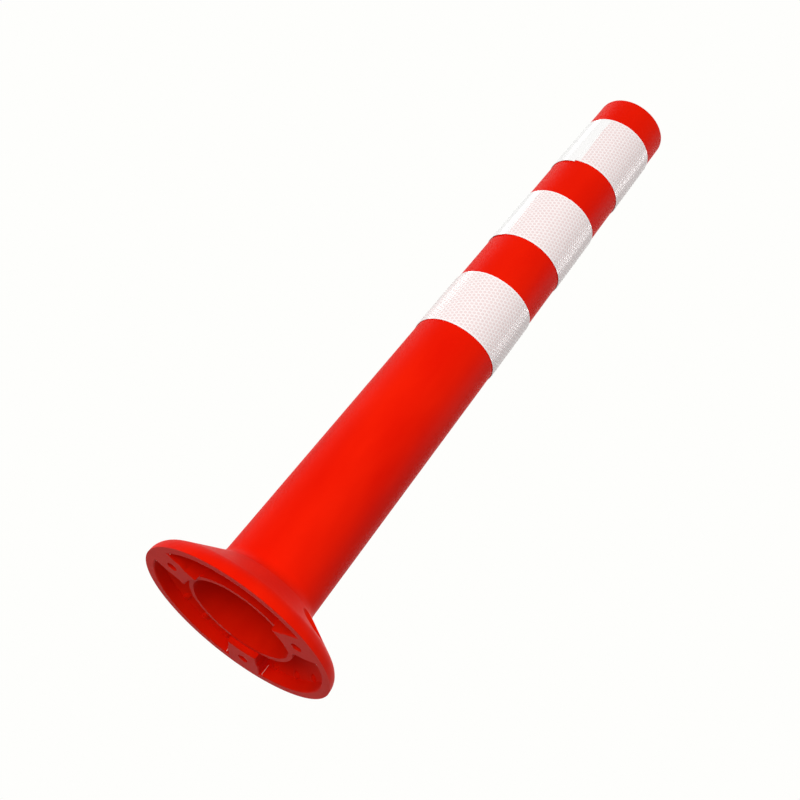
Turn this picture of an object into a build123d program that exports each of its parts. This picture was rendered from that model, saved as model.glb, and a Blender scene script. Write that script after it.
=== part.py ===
"""Flexible delineator post: one moulding with a cored bolt-down flange, and three reflective strips.

Millimetres, +Z up along the post, origin at the centre of the flange's underside.
"""

import os
from math import cos, degrees, radians, sin, tan

from build123d import *

os.makedirs("parts", exist_ok=True)

# Outside of the moulding
post_height = 750.0
flange_radius = 105.0
rim_height = 11.0
rim_draft = 2.0
cone_height = 44.4
tube_foot_radius = 51.2
tube_top_radius = 39.5
shoulder_radius = 15.0
foot_radius = 13.0
top_edge_radius = 4.0

# Walls
tube_wall = 4.5
top_wall = 5.0
flange_wall = 4.0

# Bore and the ring round its mouth
ring_bore_radius = 54.2
ring_wall = 4.6
ring_gap = 1.7
lip_recess = 5.8

# Hollows cored under the flange
rim_width = 9.5
core_draft = 1.5
core_corner_radius = 5.0
mouth_chamfer = 0.8
nub_angles = [-54.0, -36.0, -18.0, 18.0, 36.0, 54.0]
nub_radius = 5.0
nub_height = 2.0
nub_inset = 2.0

# Bolt bosses
bolt_count = 3
first_bolt_angle = 90.0
bolt_circle_radius = 80.0
bolt_hole_radius = 5.5
bolt_seat_height = 18.0
seat_radius = 15.0
seat_draft = 5.0
boss_wall = 3.5
web_inset = 2.0
web_fillet_radius = 3.0

# Zones of the tube that bend, counted up from the flange
collar_height = 15.6
zone_length = 64.0
zone_count = 4

# Reflective strips, counted down from the top
band_names = ["reflective_band_upper", "reflective_band_middle", "reflective_band_lower"]
band_margins = [38.7, 55.1, 61.5]
band_seam_angles = [-106.0, -124.5, -168.0]
band_height = 75.0
band_thickness = 0.4
band_lap = 14.0
adhesive_thickness = 0.4

# Values that follow from the driving sizes
rim_corner_radius = flange_radius - rim_height * tan(radians(rim_draft))
cone_slope = (cone_height - rim_height) / (rim_corner_radius - tube_foot_radius)
tube_taper = (tube_foot_radius - tube_top_radius) / (post_height - cone_height)
ring_outer_radius = ring_bore_radius + ring_wall
recess_radius = ring_outer_radius + ring_gap
channel_outer_radius = flange_radius - rim_width
nub_circle_radius = channel_outer_radius - nub_inset
boss_radius = seat_radius + boss_wall
block_length = flange_radius - bolt_circle_radius
web_length = bolt_circle_radius - ring_bore_radius
web_width = 2 * (boss_radius - web_inset)
flex_start = cone_height + collar_height
flex_end = flex_start + zone_count * zone_length


def tube_radius(height):
    """Outside radius of the tapered tube at a height."""
    return tube_foot_radius - (height - cone_height) * tube_taper


def cone_top(radius):
    """Height of the flange's sloping top at a radius."""
    return cone_height - (radius - tube_foot_radius) * cone_slope


def ceiling(radius):
    """Height of the hollows' roof, one wall under the flange's top."""
    return cone_top(radius) - flange_wall * (1 + cone_slope**2) ** 0.5


def radial_plane(angle):
    """Upright plane through the post's axis, with its X pointing outwards at an angle."""
    outwards = (cos(radians(angle)), sin(radians(angle)), 0)
    return Plane(origin=(0, 0, 0), x_dir=outwards, z_dir=(outwards[1], -outwards[0], 0))


# Plan of the hollows between ring and rim. A boss is an eye, a block to the rim and a web to the ring
with BuildSketch() as hollow_plan:
    Circle(channel_outer_radius)
    Circle(ring_outer_radius, mode=Mode.SUBTRACT)
    with PolarLocations(bolt_circle_radius, bolt_count, start_angle=first_bolt_angle):
        Circle(boss_radius, mode=Mode.SUBTRACT)
        Rectangle(block_length, 2 * boss_radius, align=(Align.MIN, Align.CENTER), mode=Mode.SUBTRACT)
        Rectangle(web_length, web_width, align=(Align.MAX, Align.CENTER), mode=Mode.SUBTRACT)
    corners = hollow_plan.vertices().group_by(lambda corner: round(Vector(corner).length, 3))
    fillet(corners[1], radius=web_fillet_radius)
    fillet(corners[-1], radius=core_corner_radius)

# One hollow, with walls drafted towards the roof, which follows the flange's sloping top
with BuildPart() as hollow:
    extrude(hollow_plan.faces().first, amount=cone_height)
    draft(hollow.faces().sort_by(Axis.Z)[1:-1], neutral_plane=Plane.XY, angle=core_draft)
    with BuildSketch(Plane.XZ):
        with BuildLine():
            Polyline(
                (0, 0),
                (flange_radius, 0),
                (flange_radius, ceiling(flange_radius)),
                (0, ceiling(0)),
                close=True,
            )
        make_face()
    revolve(axis=Axis.Z, mode=Mode.INTERSECT)

# Low round nubs on the roofs of the hollows at both sides of the first bolt, near the rim
with BuildPart(Plane.XY.offset(ceiling(nub_circle_radius) + nub_radius - nub_height)) as nubs:
    for nub_angle in nub_angles:
        with PolarLocations(nub_circle_radius, 1, start_angle=first_bolt_angle + nub_angle):
            Sphere(nub_radius)

# All the hollows, dented where the nubs stand
with BuildPart() as hollows:
    with PolarLocations(0, bolt_count):
        add(hollow.part)
    add(nubs.part, mode=Mode.SUBTRACT)

# The whole moulding
with BuildPart() as moulding:
    with BuildSketch(Plane.XZ):
        with BuildLine():
            FilletPolyline(
                (flange_radius, 0),
                (rim_corner_radius, rim_height),
                (tube_foot_radius, cone_height),
                (tube_top_radius, post_height),
                (0, post_height),
                radius=[shoulder_radius, foot_radius, top_edge_radius],
            )
            Polyline((0, post_height), (0, 0), (flange_radius, 0))
        make_face()
    revolve(axis=Axis.Z)

    # Bore, wide at the ring and one wall inside the tube above the collar
    with BuildSketch(Plane.XZ):
        with BuildLine():
            Polyline(
                (0, 0),
                (recess_radius, 0),
                (recess_radius, lip_recess),
                (ring_bore_radius, lip_recess),
                (tube_radius(flex_start) - tube_wall, flex_start),
                (tube_radius(post_height) - tube_wall, post_height - top_wall),
                (0, post_height - top_wall),
                close=True,
            )
        make_face()
    revolve(axis=Axis.Z, mode=Mode.SUBTRACT)

    # Hollows between the bosses, with the edges of their mouths broken
    add(hollows.part, mode=Mode.SUBTRACT)
    underside = moulding.faces().sort_by(Axis.Z).first
    chamfer(underside.inner_wires().edges(), length=mouth_chamfer)

    # Seats for the bolt heads, cut down into the sloping top, and the bolt holes under them
    with BuildSketch(Plane.XY.offset(bolt_seat_height)):
        with PolarLocations(bolt_circle_radius, bolt_count, start_angle=first_bolt_angle):
            Circle(seat_radius)
    extrude(amount=cone_height - bolt_seat_height, taper=-seat_draft, mode=Mode.SUBTRACT)
    with BuildSketch():
        with PolarLocations(bolt_circle_radius, bolt_count, start_angle=first_bolt_angle):
            Circle(bolt_hole_radius)
    extrude(amount=bolt_seat_height, mode=Mode.SUBTRACT)

# The moulding in lengths: the flange, the zones that bend, and the post above them
with BuildPart() as base_flange:
    add(moulding.part)
    split(bisect_by=Plane.XY.offset(flex_start), keep=Keep.BOTTOM)
base_flange.part.label = "base_flange"
export_step(base_flange.part, "parts/base_flange.step")

for zone in range(zone_count):
    zone_bottom = flex_start + zone * zone_length
    with BuildPart() as flex_zone:
        add(moulding.part)
        split(bisect_by=Plane.XY.offset(zone_bottom), keep=Keep.TOP)
        split(bisect_by=Plane.XY.offset(zone_bottom + zone_length), keep=Keep.BOTTOM)
    flex_zone.part.label = f"flex_zone_{zone + 1}"
    export_step(flex_zone.part, f"parts/flex_zone_{zone + 1}.step")

with BuildPart() as post_tube:
    add(moulding.part)
    split(bisect_by=Plane.XY.offset(flex_end), keep=Keep.TOP)
post_tube.part.label = "post_tube"
export_step(post_tube.part, "parts/post_tube.step")


def strip_section(bottom, offset):
    """Outline of a strip's section, lying along the tube at an offset from its surface."""
    top = bottom + band_height
    return [
        (tube_radius(bottom) + offset, bottom),
        (tube_radius(bottom) + offset + band_thickness, bottom),
        (tube_radius(top) + offset + band_thickness, top),
        (tube_radius(top) + offset, top),
    ]


# Each strip goes once round the tube on its adhesive, and its end laps over its start
band_top = post_height
for name, margin, seam_angle in zip(band_names, band_margins, band_seam_angles):
    band_bottom = band_top - margin - band_height
    lap_angle = degrees(band_lap / tube_radius(band_bottom))
    with BuildPart() as band:
        with BuildSketch(Plane.XZ):
            with BuildLine():
                Polyline(*strip_section(band_bottom, adhesive_thickness), close=True)
            make_face()
        revolve(axis=Axis.Z)
        with BuildSketch(radial_plane(seam_angle - lap_angle)):
            with BuildLine():
                Polyline(*strip_section(band_bottom, adhesive_thickness + band_thickness), close=True)
            make_face()
        revolve(axis=Axis.Z, revolution_arc=lap_angle)
    band.part.label = name
    export_step(band.part, f"parts/{name}.step")
    band_top = band_bottom
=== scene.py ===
"""Flexible delineator post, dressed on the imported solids, in metres in their frame."""

from math import atan, atan2, cos, hypot, pi, radians, sin, sqrt

import bmesh
import bpy
from mathutils import Matrix, Vector


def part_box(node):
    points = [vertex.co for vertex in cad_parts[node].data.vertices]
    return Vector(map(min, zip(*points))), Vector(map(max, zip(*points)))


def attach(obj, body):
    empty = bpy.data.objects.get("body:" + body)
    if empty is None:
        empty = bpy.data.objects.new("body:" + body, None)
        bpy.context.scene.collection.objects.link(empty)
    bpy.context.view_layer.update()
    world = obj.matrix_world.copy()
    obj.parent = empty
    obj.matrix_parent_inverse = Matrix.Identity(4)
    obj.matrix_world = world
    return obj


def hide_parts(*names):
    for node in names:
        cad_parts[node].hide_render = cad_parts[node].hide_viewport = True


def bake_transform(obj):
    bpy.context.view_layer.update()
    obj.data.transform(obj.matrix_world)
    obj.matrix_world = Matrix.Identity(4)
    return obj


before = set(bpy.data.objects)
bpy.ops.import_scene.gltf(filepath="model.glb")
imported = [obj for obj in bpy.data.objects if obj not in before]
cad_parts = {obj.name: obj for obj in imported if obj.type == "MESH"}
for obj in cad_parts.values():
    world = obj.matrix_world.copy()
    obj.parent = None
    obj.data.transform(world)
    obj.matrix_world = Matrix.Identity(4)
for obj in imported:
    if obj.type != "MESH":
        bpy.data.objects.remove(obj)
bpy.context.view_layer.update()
scene = bpy.context.scene

MM = 0.001

# Points nearer than this are one, and edges that turn by more than this stay sharp
TOLERANCE = 0.01 * MM
SHARP_ANGLE = radians(35)

# Bodies of the post, from the flange up, with a flex zone between each two
BODIES = ["base", "bend_1", "bend_2", "bend_3", "post"]

# Moulding: wall of the tube and round edge of its closed top
TUBE_WALL = 4.5 * MM
TOP_WALL = 5.0 * MM
TOP_EDGE = 4.0 * MM
TOP_EDGE_STEPS = 6
ROUND_STEPS = 128
ZONE_ROWS = 16

# Painted highlight lines in the corners where the bolt bosses meet the rim: their place beside a
# boss, and their size
BOSSES = 3
FIRST_BOSS = radians(90)
GLINT_LINE_OUT = 91.9 * MM
GLINT_LINE_ASIDE = 21.3 * MM
GLINT_LINE_BOTTOM = 0.9 * MM
GLINT_LINE_TOP = 12.6 * MM
GLINT_LINE_RADIUS = 0.5 * MM
GLINT_LINE_SIDES = 8

# Reflective sheeting: film and adhesive, the lap and its climb, sealed borders and plain ends
FILM = 0.4 * MM
ADHESIVE = 0.4 * MM
LAP = 14.0 * MM
CLIMB = 5.0 * MM
BORDER = 1.2 * MM
PLAIN_START = 1.2 * MM
PLAIN_END = 45.0 * MM
PLAIN_STEP = 1.25 * MM

# Honeycomb of the sheeting. Its relief is higher than on real film, so that it shows
CELL_PITCH = 4.44 * MM
NET_LINE = 1.2 * MM
CELL_RISE = 0.1 * MM
CELL_CROWN = 0.3 * MM

# Each strip's seam in degrees round the tube, and how much higher its outer end lies than its start
STRIPS = [
    ("reflective_band_upper", -106.0, -2.1 * MM),
    ("reflective_band_middle", -124.5, -0.5 * MM),
    ("reflective_band_lower", -168.0, 3.7 * MM),
]

# Typical refraction of the two plastics
POLYURETHANE_IOR = 1.5
ACRYLIC_IOR = 1.49

# Strength of the room's faint light from straight below and straight above
ROOM_BELOW = 0.22
ROOM_ABOVE = 0.2

# Each lamp's place, width, height and watts, and whether it shows in the gloss
LAMPS = [
    ("front", (-0.09, -2.44, -0.1), 2.4, 2.4, 66, False),
    ("right fill", (2.38, 0.5, 0.62), 1.6, 1.6, 3, False),
    ("left fill", (-2.38, 0.5, 0.62), 1.6, 1.6, 12, False),
    ("back", (0.0, 2.0, 1.88), 1.8, 1.8, 30, False),
    ("left softbox", (-1.67, 0.27, 1.8), 0.5, 0.9, 5, True),
    ("right softbox", (1.57, 0.8, 1.86), 0.3, 1.0, 6.5, True),
]

# Floor: a disc just under the flange, which fades out between two distances
FLOOR_RADIUS = 2.0
FLOOR_SIDES = 64
FLOOR_DROP = 0.5 * MM
FADE_START = 0.5
FADE_END = 1.9

# The tube's ends and its taper, read from the solids
zone_low, zone_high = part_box("flex_zone_1")
post_low, post_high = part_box("post_tube")
post_top = post_high.z
taper = (zone_high.x - post_high.x) / (post_low.z - zone_low.z)


def tube_radius(height):
    """Outside radius of the tube at a height."""
    return zone_high.x - (height - zone_low.z) * taper


def linear(hex_code):
    """Linear RGBA of an sRGB hex colour."""
    parts = [int(hex_code[i:i + 2], 16) / 255 for i in (1, 3, 5)]
    return [p / 12.92 if p <= 0.04045 else ((p + 0.055) / 1.055) ** 2.4 for p in parts] + [1.0]


def add_node(tree, kind, settings=(), links=()):
    """A node with its properties or inputs set, then its inputs linked to other nodes' outputs."""
    node = tree.nodes.new(kind)
    for name, value in settings:
        if isinstance(name, str) and hasattr(node, name):
            setattr(node, name, value)
        else:
            node.inputs[name].default_value = value
    for name, source in links:
        tree.links.new(source, node.inputs[name])
    return node


def new_material(name):
    """A material, its node tree, and the Object coordinates that its patterns read."""
    material = bpy.data.materials.new(name)
    material.use_nodes = True
    tree = material.node_tree
    tree.nodes.clear()
    return material, tree, add_node(tree, "ShaderNodeTexCoord").outputs["Object"]


def mottled_finish(name, patch, first, second, roughness, ior):
    """A material of even gloss, whose colour drifts between two in patches of a size."""
    material, tree, place = new_material(name)
    drift = add_node(
        tree, "ShaderNodeTexNoise", [("Scale", 1 / patch), ("Detail", 2.0)], [("Vector", place)]
    )
    colour = add_node(
        tree,
        "ShaderNodeMix",
        [("data_type", "RGBA"), (6, linear(first)), (7, linear(second))],
        [(0, drift.outputs[0])],
    )
    surface = add_node(
        tree,
        "ShaderNodeBsdfPrincipled",
        [("Roughness", roughness), ("IOR", ior)],
        [("Base Color", colour.outputs[2])],
    )
    add_node(tree, "ShaderNodeOutputMaterial", links=[("Surface", surface.outputs[0])])
    return material


# Red polyurethane, cast in a smooth mould: a deep colour under a satin skin, with slight mottling
# in streaks, marks along the draw of the mould, a fine orange peel and a trace of dusty sheen at
# its edges. The marks and the peel are drawn coarse enough to show
red_polyurethane, tree, place = new_material("red moulded polyurethane")
mottle_place = add_node(tree, "ShaderNodeMapping", [("Scale", (1, 1, 0.3))], [("Vector", place)])
mottle = add_node(
    tree,
    "ShaderNodeTexNoise",
    [("Scale", 1 / (40 * MM)), ("Detail", 3.0)],
    [("Vector", mottle_place.outputs[0])],
)
draw_place = add_node(tree, "ShaderNodeMapping", [("Scale", (1, 1, 0.03))], [("Vector", place)])
draw_marks = add_node(
    tree,
    "ShaderNodeTexNoise",
    [("Scale", 1 / (3 * MM)), ("Detail", 4.0)],
    [("Vector", draw_place.outputs[0])],
)
peel = add_node(
    tree, "ShaderNodeTexNoise", [("Scale", 1 / (1.6 * MM)), ("Detail", 2.0)], [("Vector", place)]
)
colour = add_node(
    tree,
    "ShaderNodeMix",
    [("data_type", "RGBA"), (6, linear("#DC0A01")), (7, linear("#F82207"))],
    [(0, mottle.outputs[0])],
)
roughness = add_node(
    tree,
    "ShaderNodeMapRange",
    [("To Min", 0.44), ("To Max", 0.58)],
    [("Value", draw_marks.outputs[0])],
)
draw_bump = add_node(
    tree,
    "ShaderNodeBump",
    [("Strength", 0.5), ("Distance", 0.06 * MM)],
    [("Height", draw_marks.outputs[0])],
)
peel_bump = add_node(
    tree,
    "ShaderNodeBump",
    [("Strength", 0.4), ("Distance", 0.05 * MM)],
    [("Height", peel.outputs[0]), ("Normal", draw_bump.outputs[0])],
)
skin = add_node(
    tree,
    "ShaderNodeBsdfPrincipled",
    [
        ("IOR", POLYURETHANE_IOR),
        ("Specular IOR Level", 0.05),
        ("Specular Tint", linear("#FF2A0C")),
        ("Sheen Weight", 0.03),
        ("Sheen Roughness", 0.3),
    ],
    [
        ("Base Color", colour.outputs[2]),
        ("Roughness", roughness.outputs[0]),
        ("Normal", peel_bump.outputs[0]),
    ],
)
add_node(tree, "ShaderNodeOutputMaterial", links=[("Surface", skin.outputs[0])])

# White sealed film of the sheeting: smooth clear acrylic over white, with faint streaks along
# the post
white_film, tree, place = new_material("white sealed acrylic film")
streak_place = add_node(tree, "ShaderNodeMapping", [("Scale", (1, 1, 0.04))], [("Vector", place)])
streaks = add_node(
    tree,
    "ShaderNodeTexNoise",
    [("Scale", 1 / (4 * MM)), ("Detail", 3.0)],
    [("Vector", streak_place.outputs[0])],
)
colour = add_node(
    tree,
    "ShaderNodeMix",
    [("data_type", "RGBA"), (6, linear("#FAF9F8")), (7, linear("#FDFCFB"))],
    [(0, streaks.outputs[0])],
)
roughness = add_node(
    tree,
    "ShaderNodeMapRange",
    [("To Min", 0.08), ("To Max", 0.16)],
    [("Value", streaks.outputs[0])],
)
film = add_node(
    tree,
    "ShaderNodeBsdfPrincipled",
    [("IOR", ACRYLIC_IOR)],
    [("Base Color", colour.outputs[2]), ("Roughness", roughness.outputs[0])],
)
add_node(tree, "ShaderNodeOutputMaterial", links=[("Surface", film.outputs[0])])

# Red polyurethane painted pale, for the thin lines that stand in for the glint of the corner
# fillets: a painted highlight
pale_glint_line = mottled_finish(
    "red polyurethane painted pale as a glint", 2 * MM, "#FF9A92", "#FFC6BE", 0.35, POLYURETHANE_IOR
)

# Sealed net of the sheeting: film pressed on to its carrier, duller, white with a pink cast of
# the tube
sealed_net = mottled_finish("sealed film net", 12 * MM, "#FDF4F3", "#FFF8F7", 0.3, ACRYLIC_IOR)

# Prism cells under low domes of clear film: a greyish pink that glints, a little uneven from cell
# to cell
prism_cells = mottled_finish(
    "pale prismatic cells", 9 * MM, "#F0DAD8", "#F5E1DF", 0.15, ACRYLIC_IOR
)

strip_finishes = [white_film, prism_cells, sealed_net]


def make_piece(bm, name, materials):
    """An object from a bmesh, smooth but for its sharp edges."""
    mesh = bpy.data.meshes.new(name)
    bm.to_mesh(mesh)
    bm.free()
    for material in materials:
        mesh.materials.append(material)
    mesh.shade_smooth()
    mesh.set_sharp_from_angle(angle=SHARP_ANGLE)
    piece = bpy.data.objects.new(name, mesh)
    scene.collection.objects.link(piece)
    return piece


def spin_wall(corners, closed):
    """A wall spun from the corners of its section, given as radius and height."""
    bm = bmesh.new()
    section = [bm.verts.new((radius, 0, height)) for radius, height in corners]
    sides = [bm.edges.new(pair) for pair in zip(section, section[1:])]
    if closed:
        sides.append(bm.edges.new((section[-1], section[0])))
    bmesh.ops.spin(
        bm, geom=section + sides, axis=(0, 0, 1), angle=2 * pi, steps=ROUND_STEPS, use_merge=True
    )
    bmesh.ops.remove_doubles(bm, verts=bm.verts, dist=TOLERANCE)
    return bm


# Skins of the flex zones, one for each two neighbouring bodies, each a plain length of the tube's
# wall that is not attached to a body
for zone, (below, above) in enumerate(zip(BODIES, BODIES[1:]), start=1):
    node = f"flex_zone_{zone}"
    bottom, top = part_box(node)[0].z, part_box(node)[1].z
    bm = spin_wall(
        [
            (tube_radius(bottom), bottom),
            (tube_radius(top), top),
            (tube_radius(top) - TUBE_WALL, top),
            (tube_radius(bottom) - TUBE_WALL, bottom),
        ],
        closed=True,
    )
    rising = [edge for edge in bm.edges if abs(edge.verts[0].co.z - edge.verts[1].co.z) > TUBE_WALL]
    bmesh.ops.subdivide_edges(bm, edges=rising, cuts=ZONE_ROWS - 1, use_grid_fill=True)
    bmesh.ops.recalc_face_normals(bm, faces=bm.faces)
    skin_piece = make_piece(bm, f"tube_skin_{zone}", [red_polyurethane])
    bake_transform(skin_piece)
    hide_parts(node)

# Upper tube with its closed top
ceiling = post_top - TOP_WALL
bm = spin_wall(
    [
        (tube_radius(post_low.z), post_low.z),
        (tube_radius(post_top), post_top),
        (0, post_top),
        (0, ceiling),
        (tube_radius(ceiling) - TUBE_WALL, ceiling),
        (tube_radius(post_low.z) - TUBE_WALL, post_low.z),
    ],
    closed=False,
)
bmesh.ops.recalc_face_normals(bm, faces=bm.faces)
top_rim = [
    edge
    for edge in bm.edges
    if all(vert.co.z > post_top - TOLERANCE and vert.co.xy.length > TOP_EDGE for vert in edge.verts)
]
bmesh.ops.bevel(
    bm,
    geom=top_rim,
    offset=TOP_EDGE,
    offset_type="OFFSET",
    affect="EDGES",
    segments=TOP_EDGE_STEPS,
    profile=0.5,
    material=-1,
)
tube = make_piece(bm, "upper_tube", [red_polyurethane])
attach(tube, "post")
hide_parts("post_tube")

# Flange: the solid's own shape, with its finish
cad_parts["base_flange"].material_slots[0].material = red_polyurethane

# A thin upright line in each corner between a bolt boss and the rim, half sunk in the wall, pale as
# a painted highlight of the corner's fillet
bm = bmesh.new()
for boss in range(BOSSES):
    for side in (-1, 1):
        bmesh.ops.create_cone(
            bm,
            cap_ends=True,
            segments=GLINT_LINE_SIDES,
            radius1=GLINT_LINE_RADIUS,
            radius2=GLINT_LINE_RADIUS / 2,
            depth=GLINT_LINE_TOP - GLINT_LINE_BOTTOM,
            matrix=Matrix.Rotation(FIRST_BOSS + boss * 2 * pi / BOSSES, 4, "Z")
            @ Matrix.Translation((GLINT_LINE_OUT, side * GLINT_LINE_ASIDE, (GLINT_LINE_BOTTOM + GLINT_LINE_TOP) / 2)),
        )
glint_line = make_piece(bm, "corner_glint_line", [pale_glint_line])
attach(glint_line, "base")


def verts_in(geom):
    """The vertices among the geometry that an operator made."""
    return [item for item in geom if isinstance(item, bmesh.types.BMVert)]


def widen(bm, axis, step, count):
    """Extrudes the sheet's outermost edges along an axis, count times a step."""
    for _ in range(count):
        reach = [vert.co[axis] for vert in bm.verts]
        limit = max(reach) if step > 0 else min(reach)
        rim = [
            edge
            for edge in bm.edges
            if all(abs(vert.co[axis] - limit) < TOLERANCE for vert in edge.verts)
        ]
        grown = bmesh.ops.extrude_edge_only(bm, edges=rim)["geom"]
        move = Vector((0, 0, 0))
        move[axis] = step
        bmesh.ops.translate(bm, vec=move, verts=verts_in(grown))


def honeycomb(start, end, height):
    """A flat net of six-sided cells between two places along a strip, inside its borders."""
    net_height = height - 2 * BORDER
    columns = round((end - start) / (CELL_PITCH * sqrt(3) / 2))
    half_rows = round(net_height / (CELL_PITCH / 2))
    column = (end - start) / columns
    half_row = net_height / half_rows
    bm = bmesh.new()
    bmesh.ops.create_grid(
        bm,
        x_segments=columns,
        y_segments=half_rows,
        size=0.5,
        matrix=Matrix.Translation(((start + end) / 2, height / 2, 0))
        @ Matrix.Diagonal((end - start, net_height, 1, 1)),
    )

    # In each column of the grid every second crossing edge goes, in turn with its neighbours, and
    # the corners move a sixth of a column towards the edges that stay, which evens the cells' sides
    crossing = []
    for edge in bm.edges:
        middle = (edge.verts[0].co + edge.verts[1].co) / 2
        number = int((middle.x - start) / column)
        level = round((middle.y - BORDER) / half_row)
        across = abs(edge.verts[0].co.x - edge.verts[1].co.x) > column / 2
        if across and 0 < level < half_rows and (number + level) % 2:
            crossing.append(edge)
    for vert in bm.verts:
        number = round((vert.co.x - start) / column)
        level = round((vert.co.y - BORDER) / half_row)
        if 0 < number < columns:
            vert.co.x += column / 6 * (-1 if (number + level) % 2 else 1)
    bmesh.ops.dissolve_edges(bm, edges=crossing, use_verts=False)
    return bm


def flat_strip(length, height):
    """A strip of film cut flat, with borders, plain ends, and cells raised inside sealed lines."""
    net_start = LAP + PLAIN_START
    net_end = length - PLAIN_END
    bm = honeycomb(net_start, net_end, height)
    widen(bm, 1, BORDER, 1)
    widen(bm, 1, -BORDER, 1)
    start_steps = round(net_start / PLAIN_STEP)
    end_steps = round(PLAIN_END / PLAIN_STEP)
    widen(bm, 0, -net_start / start_steps, start_steps)
    widen(bm, 0, PLAIN_END / end_steps, end_steps)
    face_side = bmesh.ops.extrude_face_region(bm, geom=bm.faces[:], use_keep_orig=True)["geom"]
    bmesh.ops.translate(bm, vec=(0, 0, FILM), verts=verts_in(face_side))
    bmesh.ops.recalc_face_normals(bm, faces=bm.faces)
    cells = []
    for face in bm.faces:
        middle = face.calc_center_median()
        inside = net_start < middle.x < net_end and BORDER < middle.y < height - BORDER
        if inside and middle.z > FILM / 2:
            cells.append(face)
    lines = bmesh.ops.inset_individual(
        bm, faces=cells, thickness=NET_LINE / 2, depth=CELL_RISE, use_even_offset=True
    )
    for face in lines["faces"]:
        face.material_index = strip_finishes.index(sealed_net)
    crowns = bmesh.ops.poke(bm, faces=cells, offset=CELL_CROWN)
    for face in crowns["faces"]:
        face.material_index = strip_finishes.index(prism_cells)
    return bm


def reflective_strip(node, seam, step):
    """A strip of sheeting wrapped once round the tube, from its seam, a little askew by a step."""
    low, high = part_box(node)
    height = high.z - low.z
    middle_height = (low.z + high.z) / 2
    middle_radius = tube_radius(middle_height) + ADHESIVE + FILM
    turn = 2 * pi * middle_radius
    length = turn + LAP
    bm = flat_strip(length, height)
    bmesh.ops.translate(bm, vec=(-length / 2, -height / 2, 0), verts=bm.verts)
    skew = Matrix.Rotation(step / turn, 3, "Z")
    bmesh.ops.rotate(bm, cent=(0, 0, 0), matrix=skew, verts=bm.verts)

    # Flat film keeps its lengths on a taper, so its edges bow and its ends lean. Its middle goes up
    # by the mean bow, which keeps it at the solid's height, and its end climbs over its start
    lean = atan(taper)
    tip = middle_radius / sin(lean)
    mean_bow = turn**2 / (24 * tip)
    middle_level = middle_height + mean_bow
    middle_angle = radians(seam) - length / 2 / middle_radius
    for vert in bm.verts:
        along, up, out = vert.co
        share = min(max((along + length / 2 - turn + CLIMB) / CLIMB, 0), 1)
        climb = FILM * share * share * (3 - 2 * share)
        angle = middle_angle + atan2(along, tip - up) / sin(lean)
        level = middle_level + (tip - hypot(along, tip - up)) * cos(lean)
        radius = tube_radius(level) + ADHESIVE + out + climb
        vert.co = (radius * cos(angle), radius * sin(angle), level)
    bmesh.ops.recalc_face_normals(bm, faces=bm.faces)
    strip = make_piece(bm, node + "_sheeting", strip_finishes)
    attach(strip, "post")
    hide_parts(node)


for strip_node, strip_seam, strip_step in STRIPS:
    reflective_strip(strip_node, strip_seam, strip_step)

# Camera of the photograph: low, in front of the flange, looking up along the post
camera_data = bpy.data.cameras.new("camera")
camera_data.sensor_width = 36.0
camera_data.lens = 64.37
camera = bpy.data.objects.new("camera", camera_data)
scene.collection.objects.link(camera)
right = Vector((0.83099, -0.02160, 0.55587))
upward = Vector((-0.47831, -0.53798, 0.69413))
backward = Vector((0.28405, -0.84269, -0.45738))
camera_turn = Matrix((right, upward, backward)).transposed().to_4x4()
camera_place = Vector((0.3977, -1.2167, -0.3726))
camera.matrix_world = Matrix.Translation(camera_place) @ camera_turn
bpy.context.scene.camera = camera

# World: faint light all round, and a white backdrop where it is seen directly, in gloss or through
# a clear piece
scene.view_settings.view_transform = "Standard"
world = bpy.data.worlds.new("studio")
world.use_nodes = True
scene.world = world
tree = world.node_tree
tree.nodes.clear()
direction = add_node(tree, "ShaderNodeTexCoord").outputs["Generated"]
upness = add_node(tree, "ShaderNodeSeparateXYZ", links=[("Vector", direction)])
room_strength = add_node(
    tree,
    "ShaderNodeMapRange",
    [("From Min", -1.0), ("To Min", ROOM_BELOW), ("To Max", ROOM_ABOVE)],
    [("Value", upness.outputs["Z"])],
)
room = add_node(
    tree,
    "ShaderNodeBackground",
    [("Color", (1, 1, 1, 1))],
    [("Strength", room_strength.outputs[0])],
)
rays = add_node(tree, "ShaderNodeLightPath")
seen = add_node(
    tree,
    "ShaderNodeMath",
    [("operation", "ADD")],
    [(0, rays.outputs["Is Camera Ray"]), (1, rays.outputs["Is Transmission Ray"])],
)
white_share = add_node(
    tree,
    "ShaderNodeMath",
    [("operation", "ADD")],
    [(0, seen.outputs[0]), (1, rays.outputs["Is Glossy Ray"])],
)
backdrop = add_node(
    tree, "ShaderNodeBackground", [("Color", linear("#FEFEFC")), ("Strength", 1.0)]
)
surroundings = add_node(
    tree,
    "ShaderNodeMixShader",
    links=[(0, white_share.outputs[0]), (1, room.outputs[0]), (2, backdrop.outputs[0])],
)
add_node(tree, "ShaderNodeOutputWorld", links=[("Surface", surroundings.outputs[0])])


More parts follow.
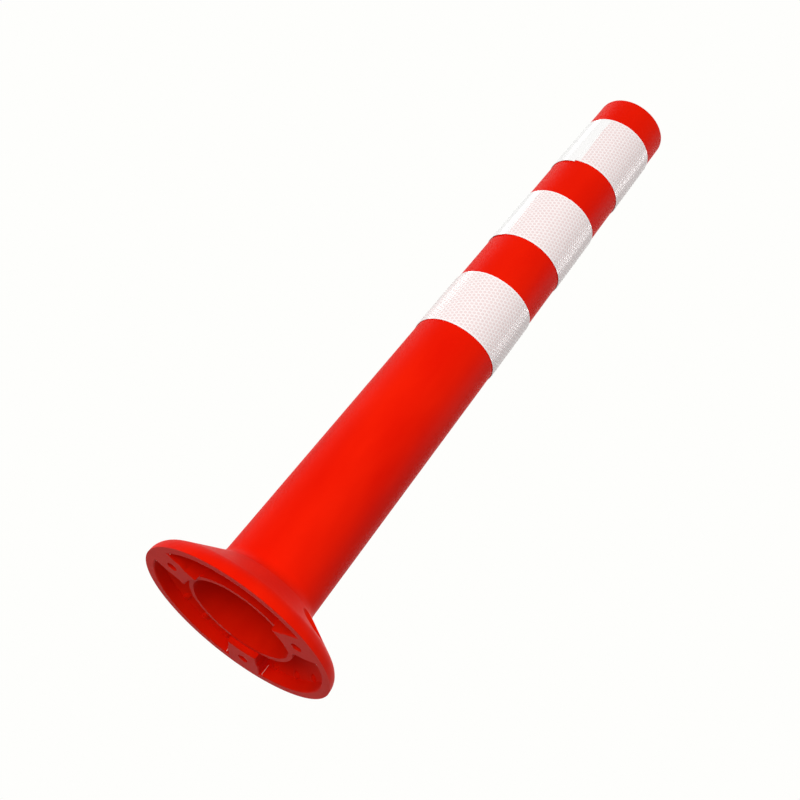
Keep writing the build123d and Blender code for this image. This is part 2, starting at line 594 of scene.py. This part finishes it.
def soft_lamp(name, place, width, height, watts, in_gloss):
    """An area lamp that faces the middle of the post from a place, and may show in its gloss."""
    lamp_data = bpy.data.lights.new(name, "AREA")
    lamp_data.shape = "RECTANGLE"
    lamp_data.size = width
    lamp_data.size_y = height
    lamp_data.energy = watts
    lamp = bpy.data.objects.new(name, lamp_data)
    scene.collection.objects.link(lamp)
    away = Vector(place) - Vector((0, 0, post_top / 2))
    lamp_turn = away.to_track_quat("Z", "Y").to_matrix().to_4x4()
    lamp.matrix_world = Matrix.Translation(place) @ lamp_turn
    lamp.visible_camera = False
    lamp.visible_glossy = in_gloss


# A broad soft lamp in front, fills at the sides and behind, and soft boxes that show in the gloss
for lamp_row in LAMPS:
    soft_lamp(*lamp_row)

# Pale floor under the flange, which fades into the white backdrop and is seen from above only
floor_paint, tree, place = new_material("pale matt studio floor")
distance = add_node(tree, "ShaderNodeVectorMath", [("operation", "LENGTH")], [(0, place)])
fade = add_node(
    tree,
    "ShaderNodeMapRange",
    [("From Min", FADE_START), ("From Max", FADE_END), ("interpolation_type", "SMOOTHSTEP")],
    [("Value", distance.outputs["Value"])],
)
under = add_node(tree, "ShaderNodeNewGeometry")
clear_share = add_node(
    tree,
    "ShaderNodeMath",
    [("operation", "MAXIMUM")],
    [(0, fade.outputs[0]), (1, under.outputs["Backfacing"])],
)
paint = add_node(tree, "ShaderNodeBsdfDiffuse", [("Color", linear("#F2F1EF"))])
clear = add_node(tree, "ShaderNodeBsdfTransparent")
faded = add_node(
    tree,
    "ShaderNodeMixShader",
    links=[(0, clear_share.outputs[0]), (1, paint.outputs[0]), (2, clear.outputs[0])],
)
add_node(tree, "ShaderNodeOutputMaterial", links=[("Surface", faded.outputs[0])])
bm = bmesh.new()
bmesh.ops.create_circle(bm, cap_ends=True, segments=FLOOR_SIDES, radius=FLOOR_RADIUS)
bmesh.ops.translate(bm, vec=(0, 0, -FLOOR_DROP), verts=bm.verts)
mesh = bpy.data.meshes.new("floor")
bm.to_mesh(mesh)
bm.free()
mesh.materials.append(floor_paint)
floor = bpy.data.objects.new("floor", mesh)
scene.collection.objects.link(floor)
for visibility in ("visible_diffuse", "visible_glossy", "visible_transmission", "visible_shadow"):
    setattr(floor, visibility, False)
